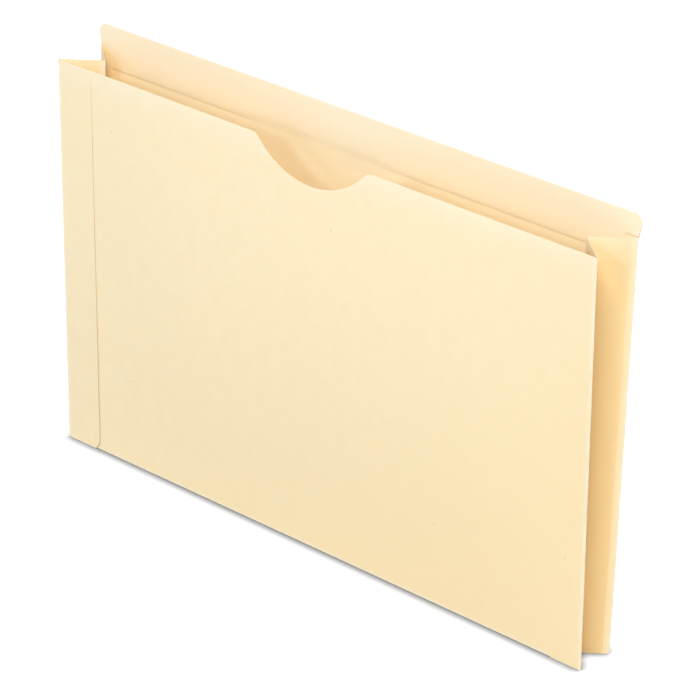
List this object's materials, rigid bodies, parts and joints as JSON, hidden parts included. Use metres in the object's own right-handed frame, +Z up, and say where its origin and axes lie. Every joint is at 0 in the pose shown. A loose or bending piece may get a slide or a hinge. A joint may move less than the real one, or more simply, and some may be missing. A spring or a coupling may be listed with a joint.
{
  "type": "file jacket",
  "caption": "Manila file jacket that stands open: front panel with a thumb notch, taller back panel with a two-ply tab, and V gussets at both sides and the bottom.",
  "frame": {"origin": "on the floor under the middle of the bounding box, the jacket standing on its bottom edges", "axes": "+X along the width, to the right as the front panel is looked at; +Y from the front panel to the back panel; +Z up"},
  "size_m": [0.377, 0.0332, 0.2411],
  "materials": {
    "manila_outside": "matte, smooth",
    "manila_gusset": "matte, smooth",
    "glue": "dried film"
  },
  "bodies": {
    "back": {"back_panel": "manila_outside", "tab_ply": "manila_outside", "tab_ply_glue": "glue", "bottom_glue_flap": "manila_outside", "bottom_flap_glue": "glue"},
    "right_rear_half": {"right_gusset_rear": "manila_gusset"},
    "right_front_half": {"right_gusset_front": "manila_gusset"},
    "front": {"front_panel": "manila_outside", "left_glue_flap": "manila_outside", "left_flap_glue": "glue"},
    "left_rear_half": {"left_gusset_rear": "manila_gusset"},
    "left_front_half": {"left_gusset_front": "manila_gusset"},
    "bottom_rear_half": {"bottom_gusset_rear": "manila_gusset"},
    "bottom_front_half": {"bottom_gusset_front": "manila_gusset"}
  },
  "joints": [
    {"name": "right_back_crease", "type": "hinge", "parent": "back", "child": "right_rear_half", "pos_m": [0.18732, 0.00708, 0], "axis": [0, 0.0385, 0.9993], "range_deg": [-34, 46]},
    {"name": "right_middle_crease", "type": "hinge", "parent": "right_rear_half", "child": "right_front_half", "pos_m": [0.17313, -0.00447, 0.00044], "axis": [-0.0244, 0.0192, 0.9995], "range_deg": [-92.05, 68.05]},
    {"name": "right_front_crease", "type": "hinge", "parent": "right_front_half", "child": "front", "pos_m": [0.18732, -0.01603, 0], "axis": [0, 0, 1], "range_deg": [-34.05, 46.05]},
    {"name": "left_back_crease", "type": "hinge", "parent": "back", "child": "left_rear_half", "pos_m": [-0.18732, 0.00708, 0], "axis": [0, 0.0385, 0.9993], "range_deg": [-46.51, 34.39]},
    {"name": "left_middle_crease", "type": "hinge", "parent": "left_rear_half", "child": "left_front_half", "pos_m": [-0.17313, -0.00447, 0.00044], "axis": [0.0244, 0.0192, 0.9995], "range_deg": [-68.73, 92.97]},
    {"name": "bottom_back_crease", "type": "hinge", "parent": "back", "child": "bottom_rear_half", "pos_m": [0, 0.00708, 0], "axis": [1, 0, 0], "range_deg": [-34.46, 46.6]},
    {"name": "bottom_middle_crease", "type": "hinge", "parent": "bottom_rear_half", "child": "bottom_front_half", "pos_m": [0, -0.0042, 0.0144], "axis": [1, 0, 0], "range_deg": [-92.97, 68.73]}
  ],
  "couplings": [
    {"joint": "right_middle_crease", "follows": "right_back_crease", "ratio": -2},
    {"joint": "right_front_crease", "follows": "right_back_crease", "ratio": 1},
    {"joint": "left_back_crease", "follows": "right_back_crease", "ratio": -1.01},
    {"joint": "left_middle_crease", "follows": "right_back_crease", "ratio": 2.02},
    {"joint": "bottom_back_crease", "follows": "right_back_crease", "ratio": 1.012},
    {"joint": "bottom_middle_crease", "follows": "right_back_crease", "ratio": -2.02}
  ]
}
